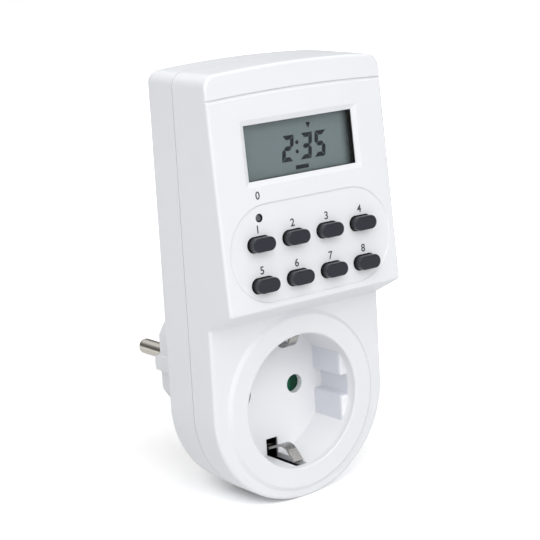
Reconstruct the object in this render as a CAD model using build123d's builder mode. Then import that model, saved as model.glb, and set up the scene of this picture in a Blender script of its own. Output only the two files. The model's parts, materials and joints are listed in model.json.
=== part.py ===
from build123d import *
from math import cos, radians, sin, tan
import os

# Plug-in weekly timer with a keyed round socket, a display and nine buttons.
# The origin is the middle of the plug's end face, between its two pins.
# +Y runs into the wall, +Z is up and the front faces -Y. Sizes are in millimetres.

# Clearances shared by all pieces
overrun = 1.0
fit_gap = 0.1
run_gap = 0.2
near = 0.01

# Housing
body_width = 61.0
wall = 2.0
plug_reach = 23.5
rear_depth = 13.3
rear_draft = 0.6
front_depth = 10.3
socket_drop = 6.5
foot_lift = 0.5
foot_depth = 29.4
head_top = 91.0
top_arch_rise = 1.2
top_corner_radius = 4.0
back_edge_radius = 2.0
lower_edge_radius = 1.0
seam_gap = 0.3
seam_gap_depth = 0.6
lip_height = 1.6

# Head with its sloping panel
panel_tilt = 5.1
panel_foot_height = 25.4
panel_overhang = 10.3
underside_foot_height = 20.0
head_edge_radius = 0.9
panel_foot_radius = 0.9
groove_height = 58.2
groove_arch_rise = 0.9
groove_width = 1.1
groove_depth = 0.7

# Sunk field round the keys
field_side = 2.1
field_height = 27.4
field_middle = 15.25
field_depth = 0.4
field_slope = 0.4

# Keys, in two rows of four, and the reset button
key_names = (
    ("clock_button", "program_button", "mode_button", "random_button"),
    ("day_button", "hour_button", "minute_button", "recall_button"),
)
key_pitch_share = 0.197
key_row_pitch = 11.2
keys_middle = 12.6
key_length = 7.6
key_height = 3.9
key_proud = 2.4
key_hole_gap = 0.28
key_edge_radius = 0.35
key_travel = 0.9
flange_margin = 0.6
flange_thickness = 0.9
stem_radius = 1.6
reset_offset = 17.1
reset_height = 25.2
reset_radius = 1.1
reset_sunk = 0.5
reset_dome_radius = 0.8

# Display window, glass and frame
window_length = 37.8
window_height = 15.2
window_middle = 42.7
bevel_width = 1.5
bevel_depth = 0.7
lens_margin = 2.2
window_land = 0.3
lip_inset = 0.2
lip_thickness = 0.6
glass_length = 40.0
glass_height = 19.4
glass_thickness = 2.6
frame_rim = 1.4
zebra_inset = 2.0
zebra_width = 1.8

# Display board behind the panel
display_depth = 8.0
board_thickness = 1.6
board_margin = 0.6
board_foot = 3.0
post_radius = 2.2
post_inset = 2.3
post_gap = 0.3
post_spread = 4.0
mat_foot = 2.8
mat_edge = 1.4
mat_margin = 1.1
mat_thickness = 0.8
mat_hole_gap = 0.5
chip_radius = 6.0
chip_thickness = 1.6
chip_edge_radius = 1.4
chip_offset = -1.5
chip_height = 40.0
cell_radius = 6.2
cell_thickness = 5.0
cell_edge_radius = 0.6
cell_offset = 14.0
cell_height = 36.0

# Power board on the rear shell
power_post_height = 4.0
power_margin = 3.5
power_height = 50.0
power_middle = 55.0
power_post_inset = 4.0
power_post_end = 3.0
relay_size = (18.4, 13.0, 15.0)
relay_place = (-13.0, 44.0)
dropper_size = (18.0, 13.0, 8.0)
dropper_place = (12.0, 40.0)
box_edge_radius = 0.8
can_radius = 4.0
can_height = 11.0
can_edge_radius = 0.5
can_offset = -12.0
can_heights = (60.0, 70.0)
link_width = 8.0
link_thickness = 1.2
link_place = (16.0, 72.0)

# Socket recess
ring_rise = 0.9
ring_face_radius = 25.3
ring_foot_radius = 26.4
ring_edge_radius = 0.6
recess_radius = 19.6
recess_depth = 16.0
recess_floor = 2.0
cup_wall = 1.6
mouth_radius = 0.5
rib_face = 16.75
rib_gap = 5.8
rib_setback = 3.4
rib_edge_radius = 0.9
pin_spacing = 19.0
pin_hole_radius = 2.8
earth_slot_width = 4.2
earth_slot_inner = 14.6
earth_slot_setback = 2.3

# Earth clips, as distances from the socket axis and behind the ring
clip_width = 3.2
clip_thickness = 0.7
clip_root = 17.5
clip_peak = 14.5
clip_tip = 18.9
upper_clip_setbacks = (4.8, 2.8)
lower_clip_setbacks = (8.6, 3.7)
clip_bend_radius = 4.0
earth_bar_inner = 14.2
earth_bar_outer = 18.1
earth_bar_notch_gap = 0.2
earth_bar_notch_side = 0.8
earth_bar_thickness = 0.8

# Shutter and the plate that carries it
shutter_radius = 13.2
shutter_thickness = 1.6
shutter_hub_radius = 4.0
shutter_half_angle = 21.0
shutter_ramp = 1.0
hub_post_radius = 1.5
hub_fit = 0.06
cover_radius = 14.5
cover_thickness = 1.2
cover_hole_gap = 0.6
peg_radius = 1.0
peg_reach = 11.5
peg_angle = 95.5
spring_wire_radius = 0.35
spring_tip_reach = 11.0
spring_apex_reach = 5.6
spring_angles = (25.0, 56.0, 87.0)
spring_bend_radius = 1.4

# Plug body and pins
plug_radius = 18.3
plug_flat = 16.3
plug_rib = 4.4
plug_key_length = 17.0
plug_edge_radius = 0.8
plug_end_wall = 4.0
collar_radius = 21.5
collar_height = 4.0
collar_slope = 2.5
pin_radius = 2.4
pin_length = 19.0
pin_tip_radius = 1.8
pin_shank_radius = 2.0
pin_collar_radius = 3.4
pin_collar_thickness = 1.2
pin_tail = 1.0
plug_earth_width = 5.4
plug_earth_thickness = 0.8
plug_earth_setback = 2.0
plug_earth_length = 13.0
plug_earth_depth = 1.7
plug_earth_foot = 4.5
plug_earth_bend_radius = 0.6

# Socket contacts, straps and inner leads
contact_width = 5.0
contact_thickness = 0.8
contact_leaf = 5.6
contact_throat = 5.2
contact_mouth = 7.2
contact_flare = 3.0
contact_start = 0.2
contact_bend_radius = 0.9
shelf_width = 5.0
strap_width = 4.0
strap_thickness = 0.8
strap_top = 6.0
lead_radius = 0.9
lead_bend_radius = 3.0
lead_climb = 4.6
lead_exit = 1.2
lead_rise = 10.5
load_lead_offset = 3.6

# Screws
screw_radius = 1.3
screw_head_radius = 2.4
screw_head_height = 1.6
screw_sink = 3.0
screw_length = 13.0
boss_radius = 2.8
boss_margin = 0.7
upper_boss_height = 84.0
lower_boss_angle = 35.0
board_screw_radius = 1.1
board_screw_head_radius = 2.0
board_screw_head_height = 1.4
board_screw_length = 5.0

# Places worked out from the sizes above
tilt = radians(panel_tilt)
socket_z = -socket_drop
foot_z = socket_z + foot_lift
back_y = -plug_reach
rear_inner_y = back_y - wall
seam_y = back_y - rear_depth
shoulder_y = seam_y - front_depth
ring_y = shoulder_y - ring_rise
floor_y = ring_y + recess_depth
floor_back_y = floor_y + recess_floor
panel_foot_y = shoulder_y - panel_overhang
cup_radius = recess_radius + cup_wall
panel = Plane(
    origin=(0, panel_foot_y, panel_foot_height),
    x_dir=(1, 0, 0),
    z_dir=(0, -cos(tilt), sin(tilt)),
)
socket_axis = Axis((0, 0, socket_z), (0, 1, 0))
boss_reach = body_width / 2 - wall - boss_margin - boss_radius
lower_boss_offset = boss_reach * cos(radians(lower_boss_angle))
lower_boss_height = foot_z - boss_reach * sin(radians(lower_boss_angle))
upper_screw_places = ((-boss_reach, upper_boss_height), (boss_reach, upper_boss_height))
lower_screw_places = ((-lower_boss_offset, lower_boss_height), (lower_boss_offset, lower_boss_height))
screw_places = upper_screw_places + lower_screw_places
screw_seat_y = back_y - screw_sink
field_length = body_width - 2 * field_side
key_pitch = key_pitch_share * body_width
lens_depth = bevel_depth + window_land
lens_thickness = wall - lens_depth
lens_length = window_length + 2 * lens_margin
lens_height = window_height + 2 * lens_margin
frame_length = lens_length + 2 * frame_rim
frame_height = lens_height + 2 * frame_rim
board_width = body_width - 2 * (wall + board_margin)
lower_post_offset = board_width / 2 - post_inset
upper_post_offset = boss_reach - boss_radius - post_radius - post_spread
upper_post_height = window_middle + frame_height / 2 + post_gap + post_radius
board_height = upper_post_height + post_inset - board_foot
lower_posts = [(side * lower_post_offset, keys_middle) for side in (-1, 1)]
display_posts = lower_posts + [(side * upper_post_offset, upper_post_height) for side in (-1, 1)]
display_back = display_depth + board_thickness
mat_width = (len(key_names[0]) - 1) * key_pitch + key_length + 2 * mat_edge
mat_height = window_middle - frame_height / 2 - mat_margin - mat_foot
inner_draft = rear_draft * (rear_depth - wall) / rear_depth
power_width = body_width - 2 * (wall + power_margin)
power_post_spacing = power_width - 2 * power_post_inset
power_post_rise = power_height - 2 * power_post_end
power_back_y = rear_inner_y - power_post_height
power_front_y = power_back_y - board_thickness
shutter_y = floor_back_y + run_gap
cover_y = shutter_y + shutter_thickness + run_gap
pin_end_y = -plug_end_wall - pin_collar_thickness - pin_tail
contact_start_y = rear_inner_y + contact_start


def level(y):
    """Plane at depth y that faces the front, with X to the right and Z up."""
    return Plane.XZ.offset(-y)


def panel_depth(z):
    """Depth of the sloping panel's face at height z."""
    return panel_foot_y + (z - panel_foot_height) * tan(tilt)


def housing_outline(inset, lift=0):
    """Front view of the housing, drawn in by inset: an oval foot, straight sides and a raised, arched top."""
    half = body_width / 2 - inset
    crown = head_top - inset + lift
    side_top = crown - top_arch_rise
    with BuildSketch() as outline:
        with BuildLine():
            EllipticalCenterArc((0, foot_z), half, foot_depth - inset, start_angle=180, arc_size=180)
            Line((half, foot_z), (half, side_top))
            ThreePointArc((half, side_top), (0, crown), (-half, side_top))
            Line((-half, side_top), (-half, foot_z))
        make_face()
        fillet(outline.vertices().group_by(Axis.Y)[-1], top_corner_radius - inset)
    return outline.sketch


def head_form(inset):
    """The head in front of the seam, drawn in by inset on its outer faces."""
    top_z = head_top + overrun
    with BuildPart() as head:
        with BuildSketch(Plane.YZ):
            with BuildLine():
                Polyline(
                    (seam_y + inset, top_z),
                    (panel_depth(top_z), top_z),
                    (panel_foot_y, panel_foot_height),
                    (shoulder_y, underside_foot_height),
                    (seam_y + inset, underside_foot_height),
                    close=True,
                )
            make_face()
            offset(amount=-inset, kind=Kind.INTERSECTION)
        extrude(amount=body_width / 2, both=True)
        with BuildSketch(level(seam_y)):
            add(housing_outline(inset))
        extrude(amount=seam_y - panel_foot_y, mode=Mode.INTERSECT)
    return head.part


def chord_segments(radius, flat, gap):
    """What flats cut from a round at both sides, less the gap that a key rib needs across the middle."""
    with BuildSketch() as segments:
        Circle(radius)
        Rectangle(2 * flat, 2 * radius, mode=Mode.SUBTRACT)
        Rectangle(2 * radius, gap, mode=Mode.SUBTRACT)
    return segments.sketch


def bent_strip(route, bend_radius, thickness, width, x):
    """Flat strip of metal bent along a route of (y, z) points in the plane at x."""
    with BuildPart() as strip:
        with BuildLine(Plane.YZ.offset(x)) as path:
            FilletPolyline(*route, radius=bend_radius)
        with BuildSketch(Plane(origin=path.line @ 0, x_dir=(1, 0, 0), z_dir=path.line % 0)):
            Rectangle(width, thickness)
        sweep()
    return strip.part


def round_wire(route, wire_radius, bend_radius):
    """Round wire along a route of points, rounded at each turn."""
    with BuildPart() as wire:
        with BuildLine() as path:
            FilletPolyline(*route, radius=bend_radius)
        with BuildSketch(Plane(origin=path.line @ 0, z_dir=path.line % 0)):
            Circle(wire_radius)
        sweep()
    return wire.part


def around(reach, angle):
    """Point on a circle about the socket axis, at an angle from the right-hand side."""
    turn = radians(angle)
    return (reach * cos(turn), socket_z + reach * sin(turn))


pieces = {}

# Guide ribs on both sides of the recess
rib_length = recess_depth - rib_setback
with BuildPart() as guide_ribs:
    with BuildSketch(level(floor_y)):
        with Locations((0, socket_z)):
            add(chord_segments(recess_radius + cup_wall / 2, rib_face, rib_gap))
    extrude(amount=rib_length)
    inner_edges = guide_ribs.edges().filter_by(Axis.Y).filter_by(
        lambda edge: abs(abs(edge.center().X) - rib_face) < near
        and abs(abs(edge.center().Z - socket_z) - rib_gap / 2) < near
    )
    fillet(inner_edges, rib_edge_radius)
    front_edges = guide_ribs.faces().group_by(Axis.Y)[0].edges().filter_by(
        lambda edge: abs(abs(edge.center().X) - rib_face) < near
    )
    fillet(front_edges, rib_edge_radius)

# Socket: raised ring, keyed cup, pin holes and earth slots, in one turned form
slot_reach = cup_radius + overrun - earth_slot_inner
slot_middle = earth_slot_inner + slot_reach / 2
with BuildPart() as socket_cup:
    with BuildSketch(Plane.XY.offset(socket_z)):
        with BuildLine():
            Polyline(
                (0, floor_y),
                (recess_radius, floor_y),
                (recess_radius, ring_y),
                (ring_face_radius, ring_y),
                (ring_foot_radius, shoulder_y),
                (ring_foot_radius, shoulder_y + wall),
                (cup_radius, shoulder_y + wall),
                (cup_radius, floor_back_y),
                (0, floor_back_y),
                close=True,
            )
        make_face()
    revolve(axis=socket_axis)
    ring_face = socket_cup.faces().sort_by(Axis.Y)[0]
    fillet(ring_face.inner_wires().edges(), mouth_radius)
    ring_face = socket_cup.faces().filter_by(GeomType.PLANE).sort_by(Axis.Y)[0]
    fillet(ring_face.outer_wire().edges(), ring_edge_radius)
    add(guide_ribs.part)
    with BuildSketch(level(floor_y)):
        with Locations((0, socket_z)):
            with GridLocations(pin_spacing, 0, 2, 1):
                Circle(pin_hole_radius)
    extrude(amount=-recess_floor - overrun, mode=Mode.SUBTRACT)
    with BuildSketch(level(ring_y + earth_slot_setback)):
        with Locations((0, socket_z)):
            with GridLocations(0, 2 * slot_middle, 1, 2):
                Rectangle(earth_slot_width, slot_reach)
    extrude(amount=earth_slot_setback - recess_depth - recess_floor - overrun, mode=Mode.SUBTRACT)

# Head block with its rounded front edges
with BuildPart() as head_block:
    add(head_form(0))
    panel_face = head_block.faces().sort_by(Axis(panel.origin, panel.z_dir))[-1]
    fillet(panel_face.edges().sort_by(Axis.Z)[1:], head_edge_radius)
    panel_face = head_block.faces().sort_by(Axis(panel.origin, panel.z_dir))[-1]
    fillet(panel_face.edges().sort_by(Axis.Z)[0], panel_foot_radius)

# Front shell
key_hole_length = key_length + 2 * key_hole_gap
key_hole_height = key_height + 2 * key_hole_gap
groove_end = body_width / 2 + overrun
with BuildPart() as front_shell:
    with BuildSketch(level(seam_y)):
        add(housing_outline(0))
    extrude(amount=front_depth)
    fillet(front_shell.faces().sort_by(Axis.Y)[0].edges(), lower_edge_radius)
    add(head_block.part)
    with BuildSketch(level(seam_y)):
        add(housing_outline(-overrun))
        add(housing_outline(seam_gap_depth), mode=Mode.SUBTRACT)
    extrude(amount=seam_gap, mode=Mode.SUBTRACT)
    with BuildSketch(level(seam_y)):
        add(housing_outline(wall))
    extrude(amount=front_depth - wall, mode=Mode.SUBTRACT)
    add(head_form(wall), mode=Mode.SUBTRACT)
    with BuildSketch(level(seam_y)):
        add(housing_outline(wall / 2))
    extrude(amount=lip_height + fit_gap, mode=Mode.SUBTRACT)
    with BuildSketch(level(shoulder_y)):
        with Locations((0, socket_z)):
            Circle(cup_radius)
    extrude(amount=-wall, mode=Mode.SUBTRACT)
    add(socket_cup.part)
    # Window with a bevelled edge, and a rebate behind it for the plate
    with BuildSketch(panel):
        with Locations((0, window_middle)):
            Rectangle(window_length + 2 * bevel_width, window_height + 2 * bevel_width)
    with BuildSketch(panel.offset(-bevel_depth)):
        with Locations((0, window_middle)):
            Rectangle(window_length, window_height)
    loft(mode=Mode.SUBTRACT)
    with BuildSketch(panel):
        with Locations((0, window_middle)):
            Rectangle(window_length, window_height)
    extrude(amount=-wall - overrun, mode=Mode.SUBTRACT)
    with BuildSketch(panel.offset(-lens_depth)):
        with Locations((0, window_middle)):
            Rectangle(lens_length + 2 * fit_gap, lens_height + 2 * fit_gap)
    extrude(amount=-lens_thickness - overrun, mode=Mode.SUBTRACT)
    # Sunk field round the keys, with a sloping edge
    with BuildSketch(panel):
        with Locations((0, field_middle)):
            SlotOverall(field_length, field_height)
    with BuildSketch(panel.offset(-field_depth)):
        with Locations((0, field_middle)):
            SlotOverall(field_length - 2 * field_slope, field_height - 2 * field_slope)
    loft(mode=Mode.SUBTRACT)
    # Holes for the keys and the reset button
    with BuildSketch(panel):
        with Locations((0, keys_middle)):
            with GridLocations(key_pitch, key_row_pitch, len(key_names[0]), len(key_names)):
                SlotOverall(key_hole_length, key_hole_height)
        with Locations((-reset_offset, reset_height)):
            Circle(reset_radius + fit_gap)
    extrude(amount=-wall - overrun, mode=Mode.SUBTRACT)
    # Arched groove under the top cap: a square upper wall and a sloping lower one
    with BuildLine(panel) as groove_path:
        ThreePointArc(
            (-groove_end, groove_height),
            (0, groove_height + groove_arch_rise),
            (groove_end, groove_height),
        )
    with BuildSketch(Plane(origin=groove_path.line @ 0, x_dir=panel.z_dir, z_dir=groove_path.line % 0)):
        with BuildLine():
            Polyline(
                (overrun, 0),
                (-groove_depth, 0),
                (0, groove_width),
                (overrun, groove_width),
                close=True,
            )
        make_face()
    sweep(mode=Mode.SUBTRACT)
    # Posts for the display board
    with BuildSketch(panel.offset(-display_depth)):
        with Locations(*display_posts):
            Circle(post_radius)
    extrude(amount=display_depth - wall / 2)
    with BuildSketch(panel.offset(-display_depth)):
        with Locations(*display_posts):
            Circle(board_screw_radius)
    extrude(amount=board_screw_length - board_thickness + fit_gap, mode=Mode.SUBTRACT)
    # Bosses for the housing screws
    for place in screw_places:
        front_y = panel_depth(place[1]) if place in upper_screw_places else shoulder_y
        with BuildSketch(level(seam_y)):
            with Locations(place):
                Circle(boss_radius)
        extrude(amount=seam_y - front_y - wall / 2)
    with BuildSketch(level(seam_y)):
        with Locations(*screw_places):
            Circle(screw_radius + fit_gap / 2)
    extrude(amount=screw_length - (screw_seat_y - seam_y) + fit_gap, mode=Mode.SUBTRACT)
pieces["front_shell"] = front_shell.part

# Rear shell with the plug body
plug_foot_y = back_y + collar_height + collar_slope
shelf_top = socket_z - contact_leaf / 2 - contact_thickness / 2 - fit_gap
shelf_height = plug_radius - wall + shelf_top
earth_groove_floor = plug_radius - plug_earth_depth
earth_foot_y = -plug_earth_setback - plug_earth_length
with BuildPart() as rear_shell:
    with BuildSketch(level(seam_y)):
        add(housing_outline(0))
    with BuildSketch(level(back_y)):
        add(housing_outline(rear_draft, rear_draft))
    loft(ruled=True)
    fillet(rear_shell.faces().sort_by(Axis.Y)[-1].edges(), back_edge_radius)
    with BuildSketch(Plane.XY):
        with BuildLine():
            Polyline(
                (0, rear_inner_y),
                (collar_radius, rear_inner_y),
                (collar_radius, back_y + collar_height),
                (plug_radius, plug_foot_y),
                (plug_radius, 0),
                (0, 0),
                close=True,
            )
        make_face()
    revolve(axis=Axis.Y)
    with BuildSketch(level(0)):
        add(chord_segments(plug_radius + overrun, plug_flat, plug_rib))
    extrude(amount=plug_key_length, mode=Mode.SUBTRACT)
    fillet(rear_shell.faces().sort_by(Axis.Y)[-1].edges(), plug_edge_radius)
    # Inside of the box and of the plug body
    with BuildSketch(level(seam_y)):
        add(housing_outline(wall))
    with BuildSketch(level(rear_inner_y)):
        add(housing_outline(wall + inner_draft, inner_draft))
    loft(ruled=True, mode=Mode.SUBTRACT)
    with BuildSketch(level(rear_inner_y)):
        Circle(plug_radius - wall)
        Rectangle(2 * (plug_flat - wall), 2 * plug_radius, mode=Mode.INTERSECT)
    extrude(amount=rear_inner_y + plug_end_wall, mode=Mode.SUBTRACT)
    # Lip that fits inside the front shell
    with BuildSketch(level(seam_y)):
        add(housing_outline(wall / 2 + fit_gap))
        add(housing_outline(wall), mode=Mode.SUBTRACT)
    extrude(amount=lip_height)
    # Rests for the socket contacts
    with BuildSketch(level(-plug_end_wall)):
        with Locations((0, shelf_top - shelf_height / 2)):
            with GridLocations(pin_spacing, 0, 2, 1):
                Rectangle(shelf_width, shelf_height)
        Circle(plug_radius - wall / 2, mode=Mode.INTERSECT)
    extrude(amount=-plug_end_wall - contact_start_y - contact_flare)
    # Posts for the power board
    with BuildSketch(level(rear_inner_y)):
        with Locations((0, power_middle)):
            with GridLocations(power_post_spacing, power_post_rise, 2, 2):
                Circle(post_radius)
    extrude(amount=power_post_height)
    with BuildSketch(level(power_back_y)):
        with Locations((0, power_middle)):
            with GridLocations(power_post_spacing, power_post_rise, 2, 2):
                Circle(board_screw_radius)
    extrude(amount=board_thickness - board_screw_length - fit_gap, mode=Mode.SUBTRACT)
    # Sunk housing screws
    with BuildSketch(level(rear_inner_y)):
        with Locations(*screw_places):
            Circle(boss_radius)
    extrude(amount=rear_inner_y - seam_y)
    with BuildSketch(level(back_y)):
        with Locations(*screw_places):
            Circle(screw_head_radius + fit_gap)
    extrude(amount=screw_sink, mode=Mode.SUBTRACT)
    with BuildSketch(level(back_y)):
        with Locations(*screw_places):
            Circle(screw_radius + fit_gap)
    extrude(amount=rear_depth, mode=Mode.SUBTRACT)
    # Holes for the pins, and the grooves and slots of the earth strips
    with BuildSketch(level(0)):
        with GridLocations(pin_spacing, 0, 2, 1):
            Circle(pin_shank_radius + fit_gap / 2)
    extrude(amount=plug_end_wall, mode=Mode.SUBTRACT)
    with BuildSketch(level(-plug_earth_setback)):
        with GridLocations(0, 2 * earth_groove_floor + plug_earth_depth + overrun, 1, 2):
            Rectangle(plug_earth_width + 2 * fit_gap, plug_earth_depth + overrun)
    extrude(amount=plug_earth_length, mode=Mode.SUBTRACT)
    with BuildSketch(level(earth_foot_y + plug_earth_thickness + 2 * fit_gap)):
        with GridLocations(0, 2 * earth_groove_floor - plug_earth_foot, 1, 2):
            Rectangle(plug_earth_width + 2 * fit_gap, plug_earth_foot + overrun)
    extrude(amount=plug_earth_thickness + 2 * fit_gap, mode=Mode.SUBTRACT)
pieces["rear_shell"] = rear_shell.part

# Display window plate
with BuildPart() as display_window:
    with BuildSketch(panel.offset(-lens_depth)):
        with Locations((0, window_middle)):
            Rectangle(lens_length, lens_height)
    extrude(amount=-lens_thickness)
pieces["display_window"] = display_window.part

# Dark frame behind the window plate, round the glass
glass_front = wall + lip_thickness
with BuildPart() as lcd_frame:
    with BuildSketch(panel.offset(-wall)):
        with Locations((0, window_middle)):
            Rectangle(frame_length, frame_height)
    extrude(amount=wall - display_depth)
    with BuildSketch(panel.offset(-wall)):
        with Locations((0, window_middle)):
            Rectangle(window_length - 2 * lip_inset, window_height)
    extrude(amount=wall - display_depth, mode=Mode.SUBTRACT)
    with BuildSketch(panel.offset(-glass_front)):
        with Locations((0, window_middle)):
            Rectangle(glass_length + 2 * fit_gap, glass_height + 2 * fit_gap)
    extrude(amount=glass_front - display_depth, mode=Mode.SUBTRACT)
pieces["lcd_frame"] = lcd_frame.part

# Display glass
with BuildPart() as lcd_panel:
    with BuildSketch(panel.offset(-glass_front)):
        with Locations((0, window_middle)):
            Rectangle(glass_length, glass_height)
    extrude(amount=-glass_thickness)
pieces["lcd_panel"] = lcd_panel.part

# Conductive strips from the glass to the board
glass_back = glass_front + glass_thickness
with BuildPart() as zebra_strips:
    with BuildSketch(panel.offset(-glass_back)):
        with Locations((0, window_middle)):
            with GridLocations(0, glass_height - 2 * zebra_width, 1, 2):
                Rectangle(glass_length - 2 * zebra_inset, zebra_width)
    extrude(amount=glass_back - display_depth)
pieces["zebra_strips"] = zebra_strips.part

# Eight keys, each with a flange behind the panel and a stem towards the board
stem_end = display_depth - key_travel - fit_gap
flange_top = wall + run_gap
for row, names in enumerate(key_names):
    for column, name in enumerate(names):
        x = (column - (len(names) - 1) / 2) * key_pitch
        s = keys_middle + (row - (len(key_names) - 1) / 2) * key_row_pitch
        with BuildPart() as key:
            with BuildSketch(panel.offset(-flange_top)):
                with Locations((x, s)):
                    SlotOverall(key_length, key_height)
            extrude(amount=flange_top + key_proud)
            key_top = key.faces().sort_by(Axis(panel.origin, panel.z_dir))[-1]
            fillet(key_top.edges(), key_edge_radius)
            with BuildSketch(panel.offset(-flange_top)):
                with Locations((x, s)):
                    SlotOverall(key_hole_length + 2 * flange_margin, key_hole_height + 2 * flange_margin)
            extrude(amount=-flange_thickness)
            with BuildSketch(panel.offset(-flange_top - flange_thickness)):
                with Locations((x, s)):
                    Circle(stem_radius)
            extrude(amount=flange_top + flange_thickness - stem_end)
        pieces[name] = key.part

# Reset button: a domed pin that stands just below the key field
with BuildPart() as reset_button:
    with BuildSketch(panel.offset(-stem_end)):
        with Locations((-reset_offset, reset_height)):
            Circle(reset_radius)
    extrude(amount=stem_end - reset_sunk)
    reset_top = reset_button.faces().sort_by(Axis(panel.origin, panel.z_dir))[-1]
    fillet(reset_top.edges(), reset_dome_radius)
    with BuildSketch(panel.offset(-flange_top)):
        with Locations((-reset_offset, reset_height)):
            Circle(reset_radius + flange_margin)
    extrude(amount=-flange_thickness)
pieces["reset_button"] = reset_button.part

# Rubber mat on the board under the keys
with BuildPart() as keypad_mat:
    with BuildSketch(panel.offset(-display_depth)):
        with Locations((0, mat_foot + mat_height / 2)):
            Rectangle(mat_width, mat_height)
        with Locations(*lower_posts):
            Circle(post_radius + mat_margin, mode=Mode.SUBTRACT)
        with Locations((0, keys_middle)):
            with GridLocations(key_pitch, key_row_pitch, len(key_names[0]), len(key_names)):
                Circle(stem_radius + mat_hole_gap, mode=Mode.SUBTRACT)
        with Locations((-reset_offset, reset_height)):
            Circle(reset_radius + mat_hole_gap, mode=Mode.SUBTRACT)
    extrude(amount=mat_thickness)
pieces["keypad_mat"] = keypad_mat.part

# Display board and what it carries on its back
with BuildPart() as display_board:
    with BuildSketch(panel.offset(-display_depth)):
        with Locations((0, board_foot + board_height / 2)):
            Rectangle(board_width, board_height)
        with Locations(*display_posts):
            Circle(board_screw_radius + fit_gap, mode=Mode.SUBTRACT)
    extrude(amount=-board_thickness)
    with BuildSketch(level(seam_y)):
        with Locations(*upper_screw_places):
            Circle(boss_radius + board_margin)
    extrude(amount=seam_y - panel_foot_y, mode=Mode.SUBTRACT)
pieces["display_board"] = display_board.part

with BuildPart() as controller_chip:
    with BuildSketch(panel.offset(-display_back)):
        with Locations((chip_offset, chip_height)):
            Circle(chip_radius)
    extrude(amount=-chip_thickness)
    fillet(controller_chip.faces().sort_by(Axis(panel.origin, panel.z_dir))[0].edges(), chip_edge_radius)
pieces["controller_chip"] = controller_chip.part

with BuildPart() as backup_cell:
    with BuildSketch(panel.offset(-display_back)):
        with Locations((cell_offset, cell_height)):
            Circle(cell_radius)
    extrude(amount=-cell_thickness)
    fillet(backup_cell.faces().sort_by(Axis(panel.origin, panel.z_dir))[0].edges(), cell_edge_radius)
pieces["backup_cell"] = backup_cell.part

with BuildPart() as display_board_screws:
    with BuildSketch(panel.offset(-display_back)):
        with Locations(*display_posts):
            Circle(board_screw_radius - fit_gap / 2)
    extrude(amount=board_screw_length)
    with BuildSketch(panel.offset(-display_back)):
        with Locations(*display_posts):
            Circle(board_screw_head_radius)
    extrude(amount=-board_screw_head_height)
pieces["display_board_screws"] = display_board_screws.part

# Power board and what it carries on its front
with BuildPart() as power_board:
    with BuildSketch(level(power_back_y)):
        with Locations((0, power_middle)):
            Rectangle(power_width, power_height)
            with GridLocations(power_post_spacing, power_post_rise, 2, 2):
                Circle(board_screw_radius + fit_gap, mode=Mode.SUBTRACT)
    extrude(amount=board_thickness)
pieces["power_board"] = power_board.part

for name, size, place in (
    ("relay", relay_size, relay_place),
    ("dropper_capacitor", dropper_size, dropper_place),
):
    with BuildPart() as box:
        with BuildSketch(level(power_front_y)):
            with Locations(place):
                Rectangle(size[0], size[2])
        extrude(amount=size[1])
        fillet(box.edges().filter_by(Axis.Y), box_edge_radius)
    pieces[name] = box.part

with BuildPart() as smoothing_capacitors:
    with BuildSketch(level(power_front_y)):
        with Locations(*[(can_offset, height) for height in can_heights]):
            Circle(can_radius)
    extrude(amount=can_height)
    fillet(smoothing_capacitors.faces().group_by(Axis.Y)[0].edges(), can_edge_radius)
pieces["smoothing_capacitors"] = smoothing_capacitors.part

with BuildPart() as board_link:
    with BuildSketch(level(power_front_y)):
        with Locations(link_place):
            Rectangle(link_width, link_thickness)
    extrude(amount=power_front_y - panel_foot_y)
    split(bisect_by=panel.offset(-display_back), keep=Keep.BOTTOM)
pieces["board_link"] = board_link.part

with BuildPart() as power_board_screws:
    with BuildSketch(level(power_front_y)):
        with Locations((0, power_middle)):
            with GridLocations(power_post_spacing, power_post_rise, 2, 2):
                Circle(board_screw_radius - fit_gap / 2)
    extrude(amount=-board_screw_length)
    with BuildSketch(level(power_front_y)):
        with Locations((0, power_middle)):
            with GridLocations(power_post_spacing, power_post_rise, 2, 2):
                Circle(board_screw_head_radius)
    extrude(amount=board_screw_head_height)
pieces["power_board_screws"] = power_board_screws.part

# Sprung earth clips in the slots of the socket, and the half ring that joins them
clip_root_y = floor_back_y - run_gap
for name, side, setbacks in (
    ("upper_earth_clip", 1, upper_clip_setbacks),
    ("lower_earth_clip", -1, lower_clip_setbacks),
):
    peak_setback, tip_setback = setbacks
    clip_route = (
        (clip_root_y, socket_z + side * clip_root),
        (floor_y, socket_z + side * clip_root),
        (ring_y + peak_setback, socket_z + side * clip_peak),
        (ring_y + tip_setback, socket_z + side * clip_tip),
    )
    pieces[name] = bent_strip(clip_route, clip_bend_radius, clip_thickness, clip_width, 0)

bar_notch_width = earth_slot_width + 2 * earth_bar_notch_side
bar_notch_reach = clip_root - clip_thickness / 2 - earth_bar_notch_gap
with BuildPart() as earth_bar:
    with BuildSketch(level(floor_back_y)):
        with Locations((0, socket_z)):
            Circle(earth_bar_outer)
            Circle(earth_bar_inner, mode=Mode.SUBTRACT)
            with Locations((-earth_slot_width / 2 - earth_bar_outer, 0)):
                Rectangle(2 * earth_bar_outer, 2 * earth_bar_outer, mode=Mode.SUBTRACT)
            Rectangle(bar_notch_width, 2 * bar_notch_reach, mode=Mode.SUBTRACT)
    extrude(amount=-earth_bar_thickness)
pieces["earth_bar"] = earth_bar.part

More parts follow.
